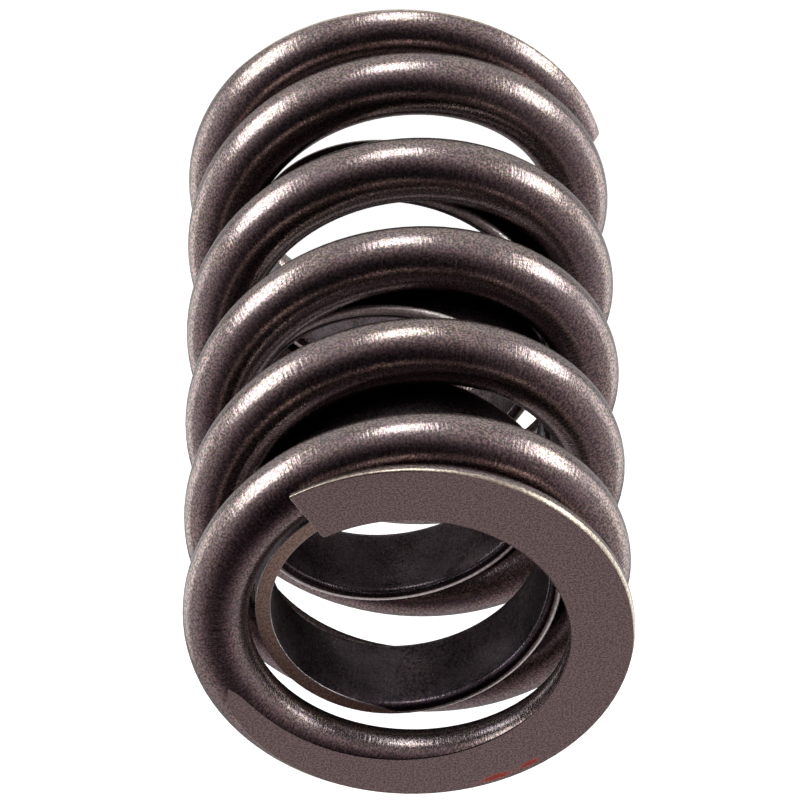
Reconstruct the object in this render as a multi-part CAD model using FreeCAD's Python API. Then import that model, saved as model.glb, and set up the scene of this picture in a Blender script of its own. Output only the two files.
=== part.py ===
import FreeCAD, Part
import math
import os

# Engine valve spring, in millimetres.
#
# The spring is two separate coils. The outer one is round spring wire, wound right-handed, with its
# last turns closed against their neighbours and ground flat. Inside it sits a damper: a coil of flat
# strip, wound the other way so that it can't screw itself between the wires. It rubs on the inside
# of the outer coil and takes the ringing out of it.
#
# The spring stands on its ground end. The origin is the centre of that end and +Z is the spring's
# axis. The -Y side shows where the top end of the wire is cut off.

# Outer spring
outside_diameter = 31.75
wire_diameter = 4.65
free_length = 51.6
wire_turns = 6.30
top_cut_angle = -59.5        # degrees about +Z, where the wire is cut at the top
wire_closed_turn = 0.65      # part of a turn that stays closed at each end
wire_opening_turn = 0.36     # part of a turn over which the pitch then opens
wire_tip_thickness = 1.75    # what grinding leaves of the wire at its cut end
wire_tip_gap = 0.05          # room between the wire's end and the coil it closes on
rim_chamfer_across = 0.10    # broken edge around each ground face: its size across the radius
rim_chamfer_along = 0.35     # and along the spring's axis

# Damper
strip_width = 6.60           # along the spring's axis
strip_thickness = 1.05       # across the radius
damper_clearance = 0.05      # between the damper and the inside of the outer spring
damper_turns = 3.69
damper_top_cut_angle = -55.0
damper_top_inset = 3.20      # how far the damper's top end lies inside the spring's top end
damper_bottom_inset = 5.00   # the same at the bottom
damper_end_pitch = 3.30      # height that the end turns gain in a full turn
damper_closed_turn = 0.24
damper_opening_turn = 0.40
damper_grind = 1.40          # strip width that grinding takes off at the cut end
damper_end_tuck = 0.42       # how much smaller the radius is at each end
damper_tucked_turn = 0.40    # part of a turn that keeps the smaller radius
damper_growing_turn = 0.36   # part of a turn over which it grows to the full radius

# Points per turn on the curve that a section is carried along: 8 keep it within 0.02 of the true coil
path_points_per_turn = 8

wire_radius = wire_diameter / 2
wire_path_radius = outside_diameter / 2 - wire_radius
damper_outside_radius = outside_diameter / 2 - wire_diameter - damper_clearance
damper_path_radius = damper_outside_radius - strip_thickness / 2


def smooth_step(x):
    """Goes from 0 to 1 as x does, and starts and ends level."""
    x = min(max(x, 0.0), 1.0)
    return x * x * (3 - 2 * x)


def smooth_ramp(x):
    """The area under smooth_step up to x."""
    if x <= 0:
        return 0.0
    if x >= 1:
        return x - 0.5
    return x ** 3 - x ** 4 / 2


def coil_height(turn, turns, end_pitch, open_pitch, closed_turn, opening_turn):
    """Height gained after some turns, with the same slow start at both ends of the coil.

    The pitch is end_pitch for closed_turn, blends to open_pitch over opening_turn, and goes back
    the same way at the far end.
    """
    opened = smooth_ramp((turn - closed_turn) / opening_turn)
    closed_again = smooth_ramp((turn - (turns - closed_turn - opening_turn)) / opening_turn)
    return end_pitch * turn + (open_pitch - end_pitch) * opening_turn * (opened - closed_again)


def coil_path(radius_at, height_at, turns, top_angle, hand):
    """A smooth curve up a coil that ends at top_angle. hand is 1 for right and -1 for left.

    The curve's own parameter counts turns. It passes through evenly spaced points of the coil and
    leaves both ends in the coil's true direction.
    """
    def point(turn):
        angle = math.radians(top_angle) - hand * 2 * math.pi * (turns - turn)
        radius = radius_at(turn)
        return FreeCAD.Vector(radius * math.cos(angle), radius * math.sin(angle), height_at(turn))

    def direction(turn):
        nearby = 1e-5
        return (point(turn + nearby) - point(turn - nearby)) / (2 * nearby)

    count = math.ceil(turns * path_points_per_turn)
    at_turns = [turns * step / count for step in range(count + 1)]
    curve = Part.BSplineCurve()
    curve.interpolate(
        Points=[point(turn) for turn in at_turns], Parameters=at_turns,
        InitialTangent=direction(0), FinalTangent=direction(turns), Scale=False)
    return curve


def round_section(curve, radius):
    """A circle square to the start of the curve."""
    start = curve.FirstParameter
    return Part.Wire(Part.makeCircle(radius, curve.value(start), curve.tangent(start)[0]))


def strip_section(curve, width, thickness):
    """Flat strip with round edges, upright in the plane through the axis and the curve's start."""
    centre = curve.value(curve.FirstParameter)
    outward = FreeCAD.Vector(centre.x, centre.y, 0).normalize()
    up = FreeCAD.Vector(0, 0, 1)
    half = thickness / 2
    straight = width / 2 - half

    def place(across, along):
        return centre + outward * across + up * along

    edges = [
        Part.makeLine(place(half, -straight), place(half, straight)),
        Part.Arc(place(half, straight), place(0, width / 2), place(-half, straight)).toShape(),
        Part.makeLine(place(-half, straight), place(-half, -straight)),
        Part.Arc(place(-half, -straight), place(0, -width / 2), place(half, -straight)).toShape(),
    ]
    return Part.Wire(edges)


def carry(section, curve, upright):
    """The solid that a section sweeps along the curve. An upright section keeps its side along +Z."""
    sweep = Part.BRepOffsetAPI.MakePipeShell(Part.Wire(curve.toShape()))
    if upright:
        sweep.setBiNormalMode(FreeCAD.Vector(0, 0, 1))
    else:
        sweep.setFrenetMode(True)
    sweep.add(section)
    sweep.build()
    sweep.makeSolid()
    return sweep.shape()


def grinding_envelope(bottom, top, radius, across, along):
    """What is left between two grinding wheels: a cylinder with its two rims chamfered.

    The chamfers meet the end faces at radius - across, lie along inside them at the radius, and run
    on past it, clear of the coil.
    """
    outer = radius + across
    corners = [
        FreeCAD.Vector(0, 0, bottom),
        FreeCAD.Vector(radius - across, 0, bottom),
        FreeCAD.Vector(outer, 0, bottom + 2 * along),
        FreeCAD.Vector(outer, 0, top - 2 * along),
        FreeCAD.Vector(radius - across, 0, top),
        FreeCAD.Vector(0, 0, top),
        FreeCAD.Vector(0, 0, bottom),
    ]
    half_profile = Part.Face(Part.makePolygon(corners))
    return half_profile.revolve(FreeCAD.Vector(0, 0, 0), FreeCAD.Vector(0, 0, 1), 360)


def outer_spring():
    """Round wire on a helix whose pitch closes at both ends, ground flat top and bottom."""
    # The wire's centre starts where grinding leaves the tip thickness above the end plane.
    start_height = wire_tip_thickness - wire_radius
    rise = free_length - 2 * start_height

    # Two conditions give the two pitches: the wire rises by the whole rise over all its turns, and
    # its end lies one wire and the tip gap from the next coil after one turn.
    first_turn_rise = wire_diameter + wire_tip_gap
    opened_in_first_turn = wire_opening_turn * smooth_ramp((1 - wire_closed_turn) / wire_opening_turn)
    turns_at_end_pitch = 2 * wire_closed_turn + wire_opening_turn
    turns_at_open_pitch = wire_turns - turns_at_end_pitch
    open_pitch = (
        (rise * (1 - opened_in_first_turn) - turns_at_end_pitch * first_turn_rise)
        / (turns_at_open_pitch * (1 - opened_in_first_turn) - turns_at_end_pitch * opened_in_first_turn)
    )
    end_pitch = (first_turn_rise - open_pitch * opened_in_first_turn) / (1 - opened_in_first_turn)
    print("outer spring: pitch %.3f open, %.3f closed" % (open_pitch, end_pitch))

    def radius_at(turn):
        return wire_path_radius

    def height_at(turn):
        return start_height + coil_height(
            turn, wire_turns, end_pitch, open_pitch, wire_closed_turn, wire_opening_turn)

    curve = coil_path(radius_at, height_at, wire_turns, top_cut_angle, 1)
    coil = carry(round_section(curve, wire_radius), curve, False)
    return coil.common(grinding_envelope(
        0, free_length, outside_diameter / 2, rim_chamfer_across, rim_chamfer_along))


def damper():
    """Flat strip wound the other way, with end turns drawn in a little and ground square."""
    centre_over_end = strip_width / 2 - damper_grind
    start_height = damper_bottom_inset + centre_over_end
    rise = free_length - damper_top_inset - centre_over_end - start_height
    turns_at_end_pitch = 2 * damper_closed_turn + damper_opening_turn
    open_pitch = (rise - damper_end_pitch * turns_at_end_pitch) / (damper_turns - turns_at_end_pitch)
    print("damper: pitch %.3f open, outside radius %.3f" % (open_pitch, damper_outside_radius))

    def radius_at(turn):
        from_end = min(turn, damper_turns - turn)
        grown = smooth_step((from_end - damper_tucked_turn) / damper_growing_turn)
        return damper_path_radius - damper_end_tuck * (1 - grown)

    def height_at(turn):
        return start_height + coil_height(
            turn, damper_turns, damper_end_pitch, open_pitch, damper_closed_turn, damper_opening_turn)

    curve = coil_path(radius_at, height_at, damper_turns, damper_top_cut_angle, -1)
    coil = carry(strip_section(curve, strip_width, strip_thickness), curve, True)
    return coil.common(grinding_envelope(
        damper_bottom_inset, free_length - damper_top_inset, outside_diameter / 2,
        rim_chamfer_across, rim_chamfer_along))


def save(name, shape):
    """Checks that the shape is one closed solid, says how big it is and writes it."""
    if not shape.isValid() or len(shape.Solids) != 1:
        raise ValueError("%s is not one valid solid" % name)
    solid = shape.Solids[0]
    print("%s: %.0f cubic millimetres, %d faces" % (name, solid.Volume, len(solid.Faces)))
    solid.exportStep("parts/%s.step" % name)


os.makedirs("parts", exist_ok=True)
save("outer_spring", outer_spring())
save("damper", damper())
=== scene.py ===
# %% [markdown]
# An engine valve spring, finished for a close picture
#
# A valve spring for a large engine is often two coils. The outer one is round spring wire with its end
# turns closed and ground flat. Inside it sits a damper, a coil of flat strip wound the other way, which
# rubs on the wire and takes the ringing out of it.
#
# The solids of both coils are ready and at their real size. They come as loose triangles with nothing on
# them that says which way the wire runs, so this lesson makes each coil again as a clean grid, in the same
# place, and then works on the finish: peened wire, rolled strip and ground faces.

# %% Load the solids
import math
import bmesh
import bpy
import numpy as np
from mathutils import Matrix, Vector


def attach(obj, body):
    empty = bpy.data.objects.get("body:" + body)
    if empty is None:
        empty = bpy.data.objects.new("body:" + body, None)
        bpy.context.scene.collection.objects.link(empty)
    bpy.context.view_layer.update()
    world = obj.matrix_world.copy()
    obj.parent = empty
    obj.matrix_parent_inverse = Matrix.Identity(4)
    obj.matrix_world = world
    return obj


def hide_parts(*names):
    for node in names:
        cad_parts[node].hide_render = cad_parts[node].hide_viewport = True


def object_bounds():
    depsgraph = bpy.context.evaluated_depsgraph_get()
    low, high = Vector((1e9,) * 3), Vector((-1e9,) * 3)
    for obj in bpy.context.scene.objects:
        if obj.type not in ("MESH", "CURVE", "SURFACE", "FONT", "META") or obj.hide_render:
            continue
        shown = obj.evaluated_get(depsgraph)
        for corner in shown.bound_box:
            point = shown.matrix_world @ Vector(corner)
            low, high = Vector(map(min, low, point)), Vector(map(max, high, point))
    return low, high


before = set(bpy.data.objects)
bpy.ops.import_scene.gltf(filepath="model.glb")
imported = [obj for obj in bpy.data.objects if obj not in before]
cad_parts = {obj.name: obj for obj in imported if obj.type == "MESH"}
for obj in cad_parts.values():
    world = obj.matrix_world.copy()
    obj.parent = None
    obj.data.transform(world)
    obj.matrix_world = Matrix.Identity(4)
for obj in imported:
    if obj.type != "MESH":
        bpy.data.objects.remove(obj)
solid_box = [list(corner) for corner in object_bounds()]
print("solids:", sorted(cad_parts), "box in metres:", solid_box)

# %% [markdown]
# Sizes
#
# Blender counts in metres and a spring maker in millimetres, so sizes are written in millimetres times mm.
# The free length is read from the solids. The others are the maker's own sizes: the diameter over the coil,
# the wire, the number of turns, and how the pitch closes towards each end.

# %% Sizes of the two coils
mm = 0.001
free_length = solid_box[1][2] - solid_box[0][2]

outside_diameter = 31.75 * mm
wire_diameter = 4.65 * mm
wire_turns = 6.30
wire_top_angle = math.radians(-59.5)
wire_closed_turn = 0.65
wire_opening_turn = 0.36
wire_tip_thickness = 1.75 * mm
wire_tip_gap = 0.05 * mm
rim_chamfer_across = 0.10 * mm
rim_chamfer_along = 0.35 * mm

strip_width = 6.60 * mm
strip_thickness = 1.05 * mm
damper_clearance = 0.05 * mm
damper_turns = 3.69
damper_top_angle = math.radians(-55.0)
damper_top_inset = 3.20 * mm
damper_bottom_inset = 5.00 * mm
damper_end_pitch = 3.30 * mm
damper_closed_turn = 0.24
damper_opening_turn = 0.40
damper_grind = 1.40 * mm
damper_end_tuck = 0.42 * mm
damper_tucked_turn = 0.40
damper_growing_turn = 0.36

wire_radius = wire_diameter / 2
wire_path_radius = outside_diameter / 2 - wire_radius
damper_path_radius = outside_diameter / 2 - wire_diameter - damper_clearance - strip_thickness / 2
print("free length %.2f mm, wire path radius %.3f mm, damper path radius %.3f mm" % (
    free_length / mm, wire_path_radius / mm, damper_path_radius / mm))

# %% [markdown]
# How high the coil has climbed
#
# A coiling machine changes the pitch while the wire runs: nearly nothing at the ends, so that the last turn
# closes on its neighbour, and wide in between. The change is gradual, or the wire would kink. A smooth step
# gives such a pitch, and the area under it gives the height, so the height has a formula of its own and
# nothing has to be added up along the way.

# %% Height along a coil
def smooth_step(x):
    """From 0 to 1 as x goes from 0 to 1, level at both ends: three x squared less two x cubed."""
    x = np.clip(x, 0, 1)
    return x * x * (3 - 2 * x)


def smooth_ramp(x):
    """The area under smooth_step: x cubed less half of x to the fourth, and then a straight climb."""
    inside = np.clip(x, 0, 1)
    return inside ** 3 - inside ** 4 / 2 + np.maximum(x - 1, 0)


def coil_height(turn, turns, end_pitch, open_pitch, closed_turn, opening_turn):
    """The end pitch times the turns, plus the extra pitch times the ramp up less the ramp down."""
    opened = smooth_ramp((turn - closed_turn) / opening_turn)
    closed_again = smooth_ramp((turn - (turns - closed_turn - opening_turn)) / opening_turn)
    return end_pitch * turn + (open_pitch - end_pitch) * opening_turn * (opened - closed_again)


wire_start = wire_tip_thickness - wire_radius
first_turn_rise = wire_diameter + wire_tip_gap
opened_in_first_turn = wire_opening_turn * smooth_ramp((1 - wire_closed_turn) / wire_opening_turn)
turns_at_end_pitch = 2 * wire_closed_turn + wire_opening_turn
turns_at_open_pitch = wire_turns - turns_at_end_pitch
wire_open_pitch = (
    ((free_length - 2 * wire_start) * (1 - opened_in_first_turn) - turns_at_end_pitch * first_turn_rise)
    / (turns_at_open_pitch * (1 - opened_in_first_turn) - turns_at_end_pitch * opened_in_first_turn))
wire_end_pitch = (first_turn_rise - wire_open_pitch * opened_in_first_turn) / (1 - opened_in_first_turn)

centre_over_end = strip_width / 2 - damper_grind
damper_start = damper_bottom_inset + centre_over_end
damper_rise = free_length - damper_top_inset - centre_over_end - damper_start
damper_turns_at_end_pitch = 2 * damper_closed_turn + damper_opening_turn
damper_open_pitch = (
    (damper_rise - damper_end_pitch * damper_turns_at_end_pitch)
    / (damper_turns - damper_turns_at_end_pitch))
print("wire pitch %.3f mm open and %.3f closed, damper pitch %.3f open" % (
    wire_open_pitch / mm, wire_end_pitch / mm, damper_open_pitch / mm))

# %% [markdown]
# Stations along a coil
#
# A coil can be a bevelled curve, but a bevel can't be ground flat. Here a row of stations stands along the
# wire, and each has a centre and two directions: outward from the axis, and up across the wire. A profile
# drawn with those two directions makes the skin. A hundred stations a turn keep the outline round from close
# by. Two more stations lie just inside the cut ends, where the edge of the cut is broken.

# %% Stations with a centre and two directions
stations_per_turn = 100
cut_edge = 0.09 * mm


def station_turns(turns, path_radius):
    """Evenly spaced turn numbers from 0 to turns, with one more just inside each end."""
    even = np.linspace(0, turns, round(turns * stations_per_turn) + 1)
    edge = cut_edge / (2 * math.pi * path_radius)
    return np.concatenate([even[:1], [edge], even[1:-1], [turns - edge], even[-1:]])


def stations(turn, turns, top_angle, hand, radius, height, upright):
    """Centres at radius and height, and the outward and up directions of each section.

    The angle runs one full circle a turn, right-handed for hand 1 and left-handed for -1. Up is the axis
    for an upright section, and otherwise the direction square to the wire and to outward.
    """
    angle = top_angle - hand * 2 * math.pi * (turns - turn)
    level = np.zeros_like(angle)
    outward = np.stack([np.cos(angle), np.sin(angle), level], axis=1)
    centre = outward * radius[:, None] + height[:, None] * [0, 0, 1]
    up = np.broadcast_to([0.0, 0.0, 1.0], outward.shape)
    if not upright:
        along = np.gradient(centre, turn, axis=0)
        up = np.cross(outward, along) * hand
        up = up / np.linalg.norm(up, axis=1, keepdims=True)
    steps = np.linalg.norm(np.diff(centre, axis=0), axis=1)
    run = np.concatenate([[0], np.cumsum(steps)])
    return centre, outward, up, run


turn = station_turns(wire_turns, wire_path_radius)
wire_height = wire_start + coil_height(
    turn, wire_turns, wire_end_pitch, wire_open_pitch, wire_closed_turn, wire_opening_turn)
wire_stations = stations(
    turn, wire_turns, wire_top_angle, 1, np.full_like(turn, wire_path_radius), wire_height, False)

turn = station_turns(damper_turns, damper_path_radius)
damper_height = damper_start + coil_height(
    turn, damper_turns, damper_end_pitch, damper_open_pitch, damper_closed_turn, damper_opening_turn)
from_end = np.minimum(turn, damper_turns - turn)
damper_radius = damper_path_radius - damper_end_tuck * (
    1 - smooth_step((from_end - damper_tucked_turn) / damper_growing_turn))
damper_stations = stations(
    turn, damper_turns, damper_top_angle, -1, damper_radius, damper_height, True)
print("wire %.0f mm long at %d stations, strip %.0f mm long at %d stations" % (
    wire_stations[3][-1] / mm, len(wire_height), damper_stations[3][-1] / mm, len(damper_height)))

# %% [markdown]
# The section and where the wheel cuts it
#
# Each section has an outline that starts at its middle height on the outer side and goes up: a quarter circle
# for the wire, and a flat flank with a round edge for the strip. A distance along it, up or down, gives a
# point. A grinding wheel takes off everything past the end plane, so at each station the outline stops where
# it meets that plane. The grid's lines stop there too, and the edge comes out clean. Cutting the finished
# mesh with a boolean would give the same shape with ragged triangles along the edge.

# %% Outlines of the wire and the strip
def wire_outline(distance):
    """A circle: radius times the cosine and sine of distance over radius."""
    angle = distance / wire_radius
    return np.stack([wire_radius * np.cos(angle), wire_radius * np.sin(angle)], axis=-1)


def wire_reach(height):
    """The distance along the circle at a height: radius times the inverse sine of height over radius."""
    return wire_radius * np.arcsin(np.clip(height / wire_radius, -1, 1))


strip_edge_radius = strip_thickness / 2
strip_flank = strip_width / 2 - strip_edge_radius


def strip_outline(distance):
    """Straight up the flank to its end, and then round a circle of half the strip's thickness."""
    past_flank = np.clip(np.abs(distance) - strip_flank, 0, strip_edge_radius * math.pi / 2)
    angle = past_flank / strip_edge_radius * np.sign(distance)
    across = strip_edge_radius * np.cos(angle)
    upward = np.clip(distance, -strip_flank, strip_flank) + strip_edge_radius * np.sin(angle)
    return np.stack([across, upward], axis=-1)


def strip_reach(height):
    """The distance along the flank and round edge at a height."""
    past_flank = np.clip(np.abs(height) - strip_flank, 0, strip_edge_radius)
    on_edge = strip_edge_radius * np.arcsin(past_flank / strip_edge_radius)
    return np.clip(height, -strip_flank, strip_flank) + on_edge * np.sign(height)


print("quarter outlines: wire %.2f mm, strip %.2f mm" % (
    wire_reach(wire_radius) / mm, strip_reach(strip_width / 2) / mm))

# %% [markdown]
# One ground end of a section
#
# Over the top of a section go these columns of the grid, from the outer side to the inner side: three points
# of the outer corner, four of the ground face and three of the inner corner. Where the wheel hasn't reached
# the wire they all fall on its highest point and are merged later. On the outer spring the outer corner is a
# steep chamfer. It keeps a fixed distance from the axis, so it starts only where the ground face is wide
# enough. Real edges are never perfectly sharp, so the corner points are then averaged with their neighbours
# a few times, which rounds them.

# %% The columns over a ground end
worn_edge = 0.07 * mm
corner_points = 3
face_points = 4


def between(start, end, points):
    """Points spaced evenly on the straight line from start to end, at every station."""
    share = np.linspace(0, 1, points)[None, :, None]
    return start[:, None] * (1 - share) + end[:, None] * share


def over_the_end(outline, reach, cut, highest, chamfer):
    """The columns over an end that lies cut above the centre of each section.

    Returns the columns, and the distances along the outline at which its outer and inner sides stop. The
    chamfer is the line where across + slope * height is the same as at its inner edge. With the lean as
    the angle whose tangent is the slope, it meets the circle at the lean less the angle whose cosine is
    (inner edge + slope * cut) * cosine of lean / radius.
    """
    cut = np.minimum(cut, highest)
    inner_stop = reach(cut)
    half_face = outline(inner_stop)[:, 0]
    outer_stop = inner_stop
    face_out = half_face
    if chamfer:
        across, along = chamfer
        radius = highest
        edge = radius - across
        lean = math.atan2(across, along)
        cosine = np.clip((edge + across / along * cut) * math.cos(lean) / radius, -1, 1)
        outer_stop = np.where(half_face > edge, radius * (lean - np.arccos(cosine)), inner_stop)
        face_out = np.minimum(half_face, edge)
    ease = np.minimum(worn_edge, 0.3 * half_face)
    side_corner = outline(outer_stop)
    outer_corner = np.stack([face_out, cut], axis=1)
    inner_corner = np.stack([-half_face, cut], axis=1)
    step_in = np.stack([ease, np.zeros_like(ease)], axis=1)
    columns = np.concatenate([
        between(side_corner, outer_corner, corner_points),
        between(outer_corner - step_in, inner_corner + step_in, face_points),
        between(inner_corner, inner_corner, corner_points),
    ], axis=1)
    return columns, outer_stop - ease, inner_stop - ease


def spread(knots, counts):
    """Distances that go evenly from each knot to the next, in counts steps."""
    parts = [
        start[:, None] + (end - start)[:, None] * np.arange(count) / count
        for start, end, count in zip(knots, knots[1:], counts)]
    return np.concatenate(parts + [knots[-1][:, None]], axis=1)


# %% [markdown]
# A whole section
#
# The full loop of a section is the outer side from bottom to top, the columns over the top, the inner side
# from top to bottom, and the columns under the bottom. The inner side is the outer side's mirror image. The
# bottom end is the top end turned upside down, so one function serves both.

# %% The loop of columns around a section
def section_loop(outline, reach, top_cut, bottom_cut, highest, chamfer, flank, counts, inner_corner):
    """All columns around a section, the finish after each, and which columns belong to a corner.

    A finish is 0 skin, 1 broken edge or 2 ground face. The inner corner's is given. flank is where the
    outline turns from its flank into its edge, or None if it has no flank. The corners outside a flank rub
    on the wire, so they count as broken edge too. On the strip that finish's light colour is partly a painted
    highlight.
    """
    over, top_outer, top_inner = over_the_end(outline, reach, top_cut, highest, chamfer)
    under, bottom_outer, bottom_inner = over_the_end(outline, reach, bottom_cut, highest, chamfer)
    under = under[:, ::-1] * [1, -1]

    def side(bottom, top):
        if flank is None:
            return outline(spread([-bottom, top], counts))
        lower = np.maximum(-flank, -bottom)
        upper = np.minimum(flank, top)
        return outline(spread([-bottom, lower, upper, top], counts))

    outer = side(bottom_outer, top_outer)
    inner = side(bottom_inner, top_inner)[:, ::-1] * [-1, 1]
    loop = np.concatenate([outer, over, inner, under], axis=1)
    side_count, corner_count, face_count = outer.shape[1] - 1, corner_points + 1, face_points - 1
    outer_side, inner_side = [0] * side_count, [0] * side_count
    if flank is not None:
        # On the strip, finish 1 covers the outer halves of the round edges; its light colour there is partly
        # a painted highlight.
        outer_side = [1] * counts[0] + [0] * counts[1] + [1] * counts[2]
    outer_edge, face, inner_edge = [1] * corner_count, [2] * face_count, [inner_corner] * corner_count
    finish = outer_side + outer_edge + face + inner_edge + inner_side + inner_edge + face + outer_edge
    end = [False] + [True] * corner_points + [False] * (face_count + 1) + [True] * corner_points
    in_corner = ([False] * side_count + end) * 2
    return loop, np.array(finish), np.array(in_corner)


def worn(loop, in_corner, passes):
    """Rounds the corners: each of their points moves to (before + 2 here + after) / 4."""
    for _ in range(passes):
        mean = (np.roll(loop, 1, axis=1) + 2 * loop + np.roll(loop, -1, axis=1)) / 4
        loop = np.where(in_corner[None, :, None], mean, loop)
    return loop


centre, outward, up, run = wire_stations
wire_loop, wire_finish, in_corner = section_loop(
    wire_outline, wire_reach, (free_length - wire_height) / up[:, 2], wire_height / up[:, 2],
    wire_radius, (rim_chamfer_across, rim_chamfer_along), None, [24], 0)
wire_loop = worn(wire_loop, in_corner, 3)

damper_loop, damper_finish, in_corner = section_loop(
    strip_outline, strip_reach, free_length - damper_top_inset - damper_height,
    damper_height - damper_bottom_inset, strip_width / 2, None, strip_flank, [5, 8, 5], 1)
damper_loop = worn(damper_loop, in_corner, 3)
print("columns around the wire %d and around the strip %d" % (len(wire_finish), len(damper_finish)))

# %% [markdown]
# From sections to a closed mesh
#
# Every column of every station becomes a point: centre, plus outward times across, plus up times height.
# Four neighbours make a face. Both ends are closed by one flat face, a little smaller than the section
# because its edge is broken. Merging the points that coincide closes the columns that have no width.
#
# Each point also remembers where it lay while the wire was still straight: how far along, across and up, in
# millimetres. A pattern drawn on that follows the wire round every turn, with no seam.

# %% Make a coil's mesh
def coil_mesh(name, place, loop, finish):
    """A closed mesh from sections along a path: centre + outward * across + up * height for each point."""
    centre, outward, up, run = place
    rows, columns = loop.shape[:2]
    for end in (0, -1):
        middle = loop[end].mean(axis=0)
        thinnest = (loop[end].max(axis=0) - loop[end].min(axis=0)).min() / 2
        loop[end] = middle + (loop[end] - middle) * (1 - cut_edge / thinnest)
    points = (
        centre[:, None]
        + outward[:, None] * loop[:, :, :1]
        + up[:, None] * loop[:, :, 1:])
    straight = np.concatenate([
        np.broadcast_to(run[:, None, None], (rows, columns, 1)),
        loop], axis=2) / mm
    number = np.arange(rows * columns).reshape(rows, columns)
    beside = np.roll(number, -1, axis=1)
    faces = np.stack([number[:-1], number[1:], beside[1:], beside[:-1]], axis=-1).reshape(-1, 4)
    face_finish = np.tile(finish, rows - 1)
    edge_rows = np.zeros((rows - 1, columns), bool)
    edge_rows[[0, -1]] = True
    face_finish = np.where(edge_rows.reshape(-1) & (face_finish == 0), 1, face_finish)

    mesh = bpy.data.meshes.new(name)
    caps = [number[0].tolist(), number[-1][::-1].tolist()]
    mesh.from_pydata(points.reshape(-1, 3).tolist(), [], faces.tolist() + caps)
    mesh.polygons.foreach_set("material_index", np.concatenate([face_finish, [3, 3]]).astype(np.int32))
    rest = mesh.attributes.new("straight", "FLOAT_VECTOR", "POINT")
    rest.data.foreach_set("vector", straight.reshape(-1).astype(np.float32))

    work = bmesh.new()
    work.from_mesh(mesh)
    bmesh.ops.remove_doubles(work, verts=work.verts, dist=0.0005 * mm)
    bmesh.ops.dissolve_degenerate(work, edges=work.edges, dist=0.0001 * mm)
    bmesh.ops.recalc_face_normals(work, faces=work.faces)
    open_edges = sum(1 for edge in work.edges if len(edge.link_faces) != 2)
    volume = work.calc_volume()
    work.to_mesh(mesh)
    work.free()
    mesh.shade_smooth()
    mesh.set_sharp_from_angle(angle=math.radians(40))
    piece = bpy.data.objects.new(name, mesh)
    bpy.context.scene.collection.objects.link(piece)
    print("%s: %d faces, %d open edges, %.0f cubic millimetres" % (
        name, len(mesh.polygons), open_edges, volume / mm ** 3))
    return piece


spring_coil = coil_mesh("spring_coil", wire_stations, wire_loop, wire_finish)
damper_coil = coil_mesh("damper_coil", damper_stations, damper_loop, damper_finish)

# %% [markdown]
# Flat faces that look flat
#
# Smooth shading averages the directions of the faces around a point. Beside a small rounded edge that bends
# the light on the big flat face too. The Weighted Normal modifier lets the larger face decide.

# %% Keep the ground faces flat in the light
for piece in (spring_coil, damper_coil):
    weighted = piece.modifiers.new("flat_faces", "WEIGHTED_NORMAL")
    weighted.weight = 80
    weighted.keep_sharp = True
    print(piece.name, "has", weighted.name)

# %% [markdown]
# Colours and nodes
#
# Colours are written as sRGB hex values, as in a paint program, and Blender's shaders want linear light, so
# one function turns them. One more function adds a node, sets it up and links it.

# %% Two helpers for materials
def linear(colour):
    """An sRGB hex colour as linear red, green, blue and alpha."""
    parts = [int(colour[i:i + 2], 16) / 255 for i in (1, 3, 5)]
    return [c / 12.92 if c <= 0.04045 else ((c + 0.055) / 1.055) ** 2.4 for c in parts] + [1]


def add(tree, kind, inputs=None, **settings):
    """Adds a node, sets its properties, and gives each input a value or a link from another socket."""
    node = tree.nodes.new(kind)
    for name, value in settings.items():
        setattr(node, name, value)
    for socket, value in (inputs or {}).items():
        if isinstance(value, bpy.types.NodeSocket):
            tree.links.new(value, node.inputs[socket])
        else:
            node.inputs[socket].default_value = value
    return node


def new_material(name):
    """An empty node material and its output node."""
    material = bpy.data.materials.new(name)
    material.use_nodes = True
    material.node_tree.nodes.clear()
    output = add(material.node_tree, "ShaderNodeOutputMaterial")
    return material, material.node_tree, output


print("mid brown in linear light:", [round(c, 3) for c in linear("#7C6E69")])

# %% [markdown]
# Peened spring wire
#
# The wire is chrome silicon steel, oil tempered, coiled and then shot peened, which leaves it covered in tiny
# dimples under a dark brown oxide. It is a metal with a dark reflection colour and a middling roughness. In
# the highlights the skin breaks up into fine strokes across the wire, 0.2 mm wide and 1 mm long, so that
# pattern is squeezed along the wire. Shot of 0.5 mm leaves dimples about 0.2 mm across.
#
# Every scale below is a count per millimetre, because the straight wire is measured in millimetres. The
# oxide's own speckle is too fine to see from here. It is drawn 0.14 mm wide, about two dots of the picture.
# A touch of red, green and blue in it gives the skin the hues of a heated metal.

# %% Peened wire
strokes_per_mm = (5.5, 1.1, 1.1)
dimples_per_mm = 5.0
speckles_per_mm = 7.0
blotches_per_mm = 0.35
stroke_depth = 6.0      # of a stroke, against a dimple's
hue_share = 0.35
blotch_share = 0.35
blotch_colour = "#74686C"
glancing_colour = "#C8C8C8"     # the oxide takes a little off what is mirrored at a glancing angle
roughness_spread = 0.04


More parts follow.
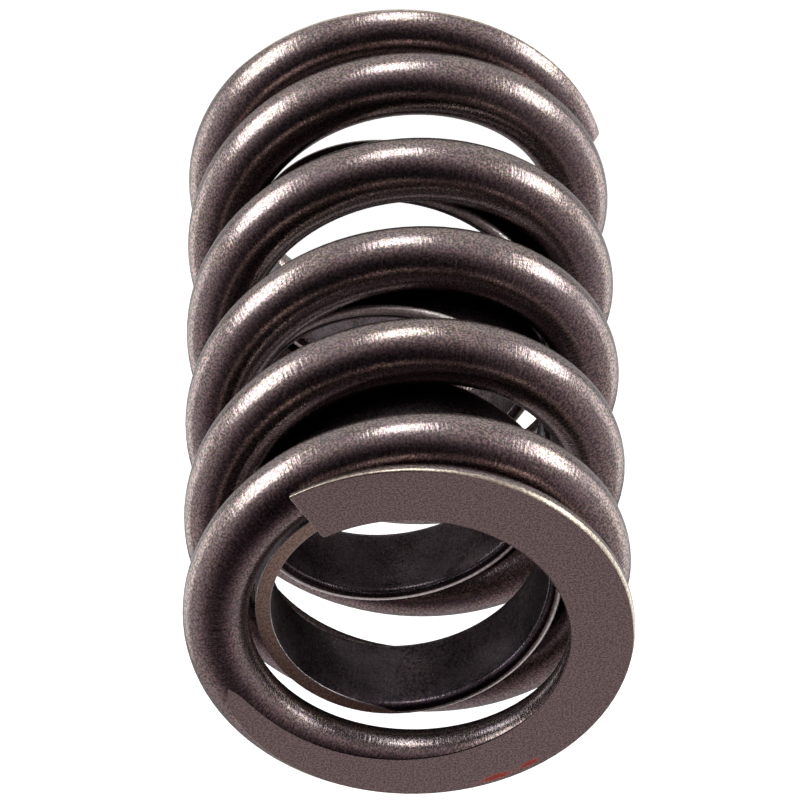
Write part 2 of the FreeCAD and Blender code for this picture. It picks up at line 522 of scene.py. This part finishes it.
def peened_wire(name, dark, light, roughness, relief_height):
    """Dark oxide over dimples and strokes, in the coordinates of the straight wire.

    The relief is stroke_depth times the strokes plus the dimples. The colour goes from dark to light with
    the speckle, and the roughness goes up and down with the dimples.
    """
    material, tree, output = new_material(name)
    straight = add(tree, "ShaderNodeAttribute", attribute_name="straight")
    place = straight.outputs["Vector"]
    squeezed = add(tree, "ShaderNodeMapping", {"Vector": place, "Scale": strokes_per_mm})
    strokes = add(tree, "ShaderNodeTexNoise", {
        "Vector": squeezed.outputs["Vector"], "Scale": 1.0, "Detail": 1.0, "Roughness": 0.5})
    dimples = add(tree, "ShaderNodeTexNoise", {
        "Vector": place, "Scale": dimples_per_mm, "Detail": 1.0, "Roughness": 0.5})
    speckle = add(tree, "ShaderNodeTexNoise", {
        "Vector": place, "Scale": speckles_per_mm, "Detail": 0.0, "Roughness": 0.5})
    blotches = add(tree, "ShaderNodeTexNoise", {
        "Vector": place, "Scale": blotches_per_mm, "Detail": 2.0, "Roughness": 0.5})
    relief = add(tree, "ShaderNodeMath", {
        0: strokes.outputs["Fac"], 1: stroke_depth, 2: dimples.outputs["Fac"]}, operation="MULTIPLY_ADD")
    bump = add(tree, "ShaderNodeBump", {
        "Strength": 1.0, "Distance": relief_height, "Height": relief.outputs[0]})
    spots = add(tree, "ShaderNodeMapRange", {
        "Value": speckle.outputs["Fac"], "From Min": 0.38, "From Max": 0.62})
    speckled = add(tree, "ShaderNodeMix", {
        0: spots.outputs[0], 6: linear(dark), 7: linear(light)}, data_type="RGBA")
    hued = add(tree, "ShaderNodeMix", {
        0: hue_share, 6: speckled.outputs[2], 7: speckle.outputs["Color"]},
        data_type="RGBA", blend_type="OVERLAY")
    tint = add(tree, "ShaderNodeMapRange", {
        "Value": blotches.outputs["Fac"],
        "From Min": 0.35, "From Max": 0.65, "To Min": 0.0, "To Max": blotch_share})
    colour = add(tree, "ShaderNodeMix", {
        0: tint.outputs[0], 6: hued.outputs[2], 7: linear(blotch_colour)}, data_type="RGBA")
    rough = add(tree, "ShaderNodeMapRange", {
        "Value": dimples.outputs["Fac"], "From Min": 0.3, "From Max": 0.7,
        "To Min": roughness - roughness_spread, "To Max": roughness + roughness_spread})
    surface = add(tree, "ShaderNodeBsdfPrincipled", {
        "Base Color": colour.outputs[2], "Metallic": 1.0, "Roughness": rough.outputs[0],
        "Specular Tint": linear(glancing_colour), "Normal": bump.outputs["Normal"]})
    tree.links.new(surface.outputs["BSDF"], output.inputs["Surface"])
    return material


peened = peened_wire("peened_spring_wire", "#62544F", "#948580", 0.26, 0.0034 * mm)
strip_skin = peened_wire("rolled_damper_strip", "#31282A", "#4E4345", 0.29, 0.003 * mm)
print("made", peened.name, "and", strip_skin.name)

# %% [markdown]
# Ground ends and broken edges
#
# The ends are ground by the face of a coarse wheel before peening, so the flat shows a fine matt grain, a
# little lighter than the wire and with no clear highlight. The grit of such a wheel leaves marks about
# 0.13 mm across. The narrow edges around the flat are brighter because the oxide is thinnest there. The
# strip's corners, where they rub on the wire, are brighter still: partly from that wear, and partly a painted
# highlight that stands in for the lamps which the coils hide from them.
#
# Two smears of red paint, about 2 mm long, are left near the rim of the top face. Each is an ellipse in the
# coordinates of a mapping node, with a ragged border from the grain. Paint is no metal, so the metallic
# value goes to 0 under it.

# %% Steel with a grain, and paint on it
grit_mark = 0.13 * mm
edge_mark = 0.2 * mm
paint_colour = "#A43C2E"
raggedness = 1.6
paint_thins, paint_ends = 1.5, 2.1


def ground_steel(name, dark, light, roughness, grain_size, relief_height, smears=()):
    """Matt steel with a random grain, in the coordinates of the object in metres.

    Each paint smear is its angle about the axis, its distance from the axis, and its length and width. It
    covers the steel where the distance from its middle, as a share of the ellipse, plus raggedness times the
    grain is under paint_thins, and is gone at paint_ends.
    """
    material, tree, output = new_material(name)
    place = add(tree, "ShaderNodeTexCoord").outputs["Object"]
    grain = add(tree, "ShaderNodeTexNoise", {
        "Vector": place, "Scale": 1 / grain_size, "Detail": 2.0, "Roughness": 0.65})
    spots = add(tree, "ShaderNodeMapRange", {
        "Value": grain.outputs["Fac"], "From Min": 0.4, "From Max": 0.6})
    colour = add(tree, "ShaderNodeMix", {
        0: spots.outputs[0], 6: linear(dark), 7: linear(light)}, data_type="RGBA")
    bump = add(tree, "ShaderNodeBump", {
        "Strength": 1.0, "Distance": relief_height, "Height": grain.outputs["Fac"]})
    surface = add(tree, "ShaderNodeBsdfPrincipled", {
        "Base Color": colour.outputs[2], "Metallic": 1.0, "Roughness": roughness,
        "Normal": bump.outputs["Normal"]})
    cover = None
    for angle, radius, length, width in smears:
        around = math.radians(angle)
        on_smear = add(tree, "ShaderNodeMapping", {
            "Vector": place,
            "Location": (radius * math.cos(around), radius * math.sin(around), free_length),
            "Rotation": (0, 0, around + math.pi / 2),
            "Scale": (length / 2, width / 2, 1 * mm)}, vector_type="TEXTURE")
        from_middle = add(tree, "ShaderNodeVectorMath", {0: on_smear.outputs["Vector"]}, operation="LENGTH")
        ragged = add(tree, "ShaderNodeMath", {
            0: grain.outputs["Fac"], 1: raggedness, 2: from_middle.outputs["Value"]},
            operation="MULTIPLY_ADD")
        inside = add(tree, "ShaderNodeMapRange", {
            "Value": ragged.outputs[0],
            "From Min": paint_thins, "From Max": paint_ends, "To Min": 1.0, "To Max": 0.0})
        cover = inside if cover is None else add(tree, "ShaderNodeMath", {
            0: inside.outputs[0], 1: cover.outputs[0]}, operation="MAXIMUM")
    if cover:
        painted = add(tree, "ShaderNodeMix", {
            0: cover.outputs[0], 6: colour.outputs[2], 7: linear(paint_colour)}, data_type="RGBA")
        bare = add(tree, "ShaderNodeMath", {0: 1.0, 1: cover.outputs[0]}, operation="SUBTRACT")
        tree.links.new(painted.outputs[2], surface.inputs["Base Color"])
        tree.links.new(bare.outputs[0], surface.inputs["Metallic"])
    tree.links.new(surface.outputs["BSDF"], output.inputs["Surface"])
    return material


print("wheel marks %.2f mm across, marks on the edges %.2f mm" % (grit_mark / mm, edge_mark / mm))

# %% [markdown]
# Five finishes from one recipe
#
# The same steel serves for the ground ends, the broken edges, the rubbed corners of the strip and the ends
# that a cutter left, each with its own colours, roughness and size of mark. The strip's rubbed corners are
# lightened as a painted highlight too. The strip's ground edge is tan, as steel is that grew warm under the
# wheel, and it is made much lighter still as painted light, because inside the bore it lies in shade. Each
# coil takes its materials in the order of the finish numbers: 0 skin, 1 edge, 2 ground face, 3 cut end.

# %% The ground, broken, rubbed and cut finishes
paint_smears = (
    (113.2, 15.00 * mm, 2.4 * mm, 0.50 * mm),
    (123.8, 15.02 * mm, 1.7 * mm, 0.42 * mm))
ground_face = ground_steel(
    "wheel_ground_end", "#94827A", "#D4C2B8", 0.55, grit_mark, 0.010 * mm, paint_smears)
edge_steel = ground_steel("broken_edge", "#86786C", "#B2A494", 0.36, edge_mark, 0.015 * mm)
# The strip's rubbed corners: real wear, and lighter still as a painted highlight for lamps the coils hide
# from them.
rubbed_and_painted_highlight_edge = ground_steel("rubbed_strip_corner_and_painted_highlight", "#AEA49E", "#DAD0CA", 0.40, edge_mark, 0.015 * mm)
cut_end = ground_steel("sheared_cut_end", "#5E5450", "#7E726D", 0.5, 0.25 * mm, 0.03 * mm)
# The strip's ground edge: a real tan heat tint, made much lighter as painted light, since in the bore it lies
# in shade.
tan_and_painted_light_strip_ground = ground_steel("ground_strip_edge_tan_and_painted_light", "#B89C84", "#F0D8C2", 0.55, grit_mark, 0.012 * mm)
for material in (peened, edge_steel, ground_face, cut_end):
    spring_coil.data.materials.append(material)
for material in (strip_skin, rubbed_and_painted_highlight_edge, tan_and_painted_light_strip_ground, cut_end):
    damper_coil.data.materials.append(material)
print("slots:", [m.name for m in spring_coil.data.materials], [m.name for m in damper_coil.data.materials])

# %% [markdown]
# Table top
#
# The spring stands on a pale table top. The lamps that its highlights mirror are lower than its foot, as on
# a lit glass table, so the top neither shades nor mirrors itself. It still takes the spring's shadow from
# the overhead lamp.

# %% Table top
table_half = 1.5
table_glow = 0.92
table_mesh = bpy.data.meshes.new("table_top")
table_mesh.from_pydata(
    [(-table_half, -table_half, 0), (table_half, -table_half, 0),
     (table_half, table_half, 0), (-table_half, table_half, 0)], [], [(0, 1, 2, 3)])
table_top = bpy.data.objects.new("table_top", table_mesh)
bpy.context.scene.collection.objects.link(table_top)
table_top.visible_glossy = False
table_top.visible_shadow = False

white_top, tree, output = new_material("white_table_top")
path = add(tree, "ShaderNodeLightPath")
seen = add(tree, "ShaderNodeMath", {
    0: path.outputs["Is Camera Ray"], 1: path.outputs["Is Glossy Ray"]}, operation="MAXIMUM")
seen = add(tree, "ShaderNodeMath", {
    0: seen.outputs[0], 1: path.outputs["Is Transmission Ray"]}, operation="MAXIMUM")
glow = add(tree, "ShaderNodeMath", {0: seen.outputs[0], 1: table_glow}, operation="MULTIPLY")
own_light = add(tree, "ShaderNodeEmission", {"Color": (1, 1, 1, 1), "Strength": glow.outputs[0]})
paint = add(tree, "ShaderNodeBsdfDiffuse", {"Color": linear("#E8E8E8")})
both = add(tree, "ShaderNodeAddShader", {0: own_light.outputs[0], 1: paint.outputs[0]})
tree.links.new(both.outputs[0], output.inputs["Surface"])
table_mesh.materials.append(white_top)
print("table top %.1f m across" % (2 * table_half))

# %% [markdown]
# Surroundings
#
# Metal shows what is around it. The wires are dark on the side that faces up along the axis and mid brown
# on the side that faces out, so the room is pale at the horizon and dark overhead. The height of a direction
# picks its tone from a ramp. In front the room darkens sooner, because the camera stands there before a dark
# wall, so the height is raised for directions that point forward. The floor of the room is dim as well: the
# softbox under the table does that work.

# %% Pale at the horizon, dark above
horizon_behind = 0.5      # place on the ramp of a level direction that points back
horizon_in_front = 0.63   # and of one that points forward
world = bpy.data.worlds.new("studio")
bpy.context.scene.world = world
world.use_nodes = True
tree = world.node_tree
tree.nodes.clear()
direction = add(tree, "ShaderNodeTexCoord").outputs["Generated"]
parts = add(tree, "ShaderNodeSeparateXYZ", {0: direction})
horizon = add(tree, "ShaderNodeMapRange", {
    "Value": parts.outputs["Y"], "From Min": 0.1, "From Max": -0.9,
    "To Min": horizon_behind, "To Max": horizon_in_front})
height = add(tree, "ShaderNodeMath", {
    0: parts.outputs["Z"], 1: 0.5, 2: horizon.outputs[0]}, operation="MULTIPLY_ADD")
fade = add(tree, "ShaderNodeValToRGB", {"Fac": height.outputs[0]})
tones = (    # place on the ramp, red, green, blue
    (0.00, 0.30, 0.30, 0.31),
    (0.18, 0.35, 0.35, 0.37),
    (0.30, 0.72, 0.71, 0.75),
    (0.40, 0.80, 0.79, 0.84),
    (0.50, 0.90, 0.88, 0.94),
    (0.58, 0.83, 0.80, 0.85),
    (0.68, 0.64, 0.60, 0.64),
    (0.75, 0.50, 0.44, 0.49),
    (0.82, 0.30, 0.245, 0.28),
    (0.88, 0.13, 0.10, 0.125),
    (0.94, 0.045, 0.031, 0.044),
    (0.985, 0.010, 0.006, 0.012))
ramp = fade.color_ramp
for position, red, green, blue in tones:
    stop = ramp.elements.new(position)
    stop.color = (red, green, blue, 1)
ramp.elements.remove(ramp.elements[0])
ramp.elements.remove(ramp.elements[-1])
room = add(tree, "ShaderNodeBackground", {"Color": fade.outputs["Color"], "Strength": 1.0})
output = add(tree, "ShaderNodeOutputWorld")
tree.links.new(room.outputs[0], output.inputs["Surface"])
print("room: %d tones, brightest %.2f and darkest %.3f" % (
    len(tones), max(tone[1] for tone in tones), min(tone[1] for tone in tones)))

# %% [markdown]
# Lamps
#
# Every highlight mirrors one lamp, so the lamps are found by following the line of sight from a highlight,
# off the wire, into the room. A softbox is a plain glowing rectangle. Its light isn't passed on from coil to
# coil, which keeps the dark gaps between the coils as deep as they look on the real spring.

# %% A lamp and where it points
def area_lamp(name, width, height, watts, colour):
    """A glowing rectangle that lights what it reaches directly. The camera doesn't see it."""
    data = bpy.data.lights.new(name, "AREA")
    data.shape = "RECTANGLE"
    data.size = width
    data.size_y = height
    data.energy = watts
    data.color = colour
    data.cycles.max_bounces = 0
    lamp = bpy.data.objects.new(name, data)
    lamp.visible_camera = False
    bpy.context.scene.collection.objects.link(lamp)
    return lamp


def facing(azimuth, elevation):
    """Turned so that a lamp out along its own +Z looks back at the middle.

    The azimuth is counted from the front, -Y, towards +X, and the elevation up from the horizon.
    """
    return (
        Matrix.Rotation(math.radians(azimuth), 4, "Z")
        @ Matrix.Rotation(math.radians(90 - elevation), 4, "X"))


print("a lamp at azimuth 90 stands out along", [round(c) for c in facing(90, 0).col[2][:3]])

# %% [markdown]
# Softboxes
#
# The highlights on the outside of the wires come from five directions around the spring, all a little below
# its own level. They are slightly cool, as studio lamps are next to brown steel. A sixth softbox, under the
# table, lights the undersides.

# %% Six softboxes
softbox_colour = (0.92, 1.0, 1.0)
lamp_distance = 0.6
softboxes = {    # azimuth and elevation in degrees, width and height in metres, watts
    "front": (-2, -20, 0.20, 0.27, 1.70),
    "front_left": (-71, -13, 0.20, 0.40, 2.25),
    "front_right": (61, -12, 0.26, 0.44, 3.05),
    "back_left": (-118, -23, 0.52, 0.34, 1.25),
    "back_right": (117, -25, 0.50, 0.34, 1.20),
    "below": (0, -90, 1.20, 1.20, 3.60),
}
middle_height = free_length / 2
for name, (azimuth, elevation, width, height, watts) in softboxes.items():
    lamp = area_lamp("softbox_" + name, width, height, watts, softbox_colour)
    lamp.matrix_world = (
        Matrix.Translation((0, 0, middle_height))
        @ facing(azimuth, elevation)
        @ Matrix.Translation((0, 0, lamp_distance)))
print("softboxes:", ", ".join(softboxes))

# %% [markdown]
# Gleams inside the bore
#
# The inside of the top turn also shows three highlights. The far side of the coils stands between it and any
# lamp in the room, so three lamps the size of a match head stand in for them, inside the bore near its top.

# %% Three lamps in the bore
gleam_colour = (0.80, 0.88, 1.0)
gleam_distance = 8 * mm
gleams = {    # azimuth and elevation in degrees, width and height in millimetres, watts
    "front": (-3, -26, 1.2, 5, 0.00020),
    "left": (-66, -13, 2, 3, 0.00008),
    "right": (61, -27, 2, 4, 0.00019),
}
gleam_middle = (0, 5.5 * mm, free_length - 3.8 * mm)
for name, (azimuth, elevation, width, height, watts) in gleams.items():
    lamp = area_lamp("bore_" + name, width * mm, height * mm, watts, gleam_colour)
    lamp.matrix_world = (
        Matrix.Translation(gleam_middle)
        @ facing(azimuth, elevation)
        @ Matrix.Translation((0, 0, gleam_distance)))
print("lamps in the bore:", ", ".join(gleams))

# %% [markdown]
# Overhead lamp
#
# One more lamp hangs over the table and throws the spring's shadow on it. The metal doesn't mirror it.

# %% Overhead lamp
overhead_place = (0.1, 0.1, 0.8)
overhead = bpy.data.lights.new("overhead", "AREA")
overhead.size = 0.5
overhead.energy = 2.2
lamp = bpy.data.objects.new("overhead", overhead)
lamp.matrix_world = Matrix.Translation(overhead_place)
lamp.visible_camera = False
lamp.visible_glossy = False
bpy.context.scene.collection.objects.link(lamp)
print("overhead lamp %.1f m over the table" % overhead_place[2])

# %% [markdown]
# Camera
#
# The camera stands in front of the spring and looks down on its ground end. The picture is turned half
# round, so the ground end is at the bottom of it. A long lens keeps the coils nearly parallel.

# %% Camera
camera_tilt = math.radians(41.42)
camera_roll = math.radians(180 - 1.43)
camera_distance = 451.5 * mm
aim_height = free_length - 23.67 * mm
camera_data = bpy.data.cameras.new("camera")
camera_data.lens = 278.96     # in millimetres, for a frame 36 mm wide
camera_data.shift_x = -0.0043
camera_data.shift_y = 0.0190
camera = bpy.data.objects.new("camera", camera_data)
camera.matrix_world = (
    Matrix.Translation((0, 0, aim_height))
    @ Matrix.Rotation(camera_tilt, 4, "X")
    @ Matrix.Translation((0, 0, camera_distance))
    @ Matrix.Rotation(camera_roll, 4, "Z"))
bpy.context.scene.collection.objects.link(camera)
bpy.context.scene.camera = camera
bpy.context.scene.view_settings.view_transform = "Standard"
print("camera at", [round(c, 3) for c in camera.matrix_world.translation])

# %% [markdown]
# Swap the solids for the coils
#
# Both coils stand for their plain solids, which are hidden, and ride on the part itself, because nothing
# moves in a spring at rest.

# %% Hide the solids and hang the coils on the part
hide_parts("outer_spring")
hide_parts("damper")
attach(spring_coil, "root")
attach(damper_coil, "root")
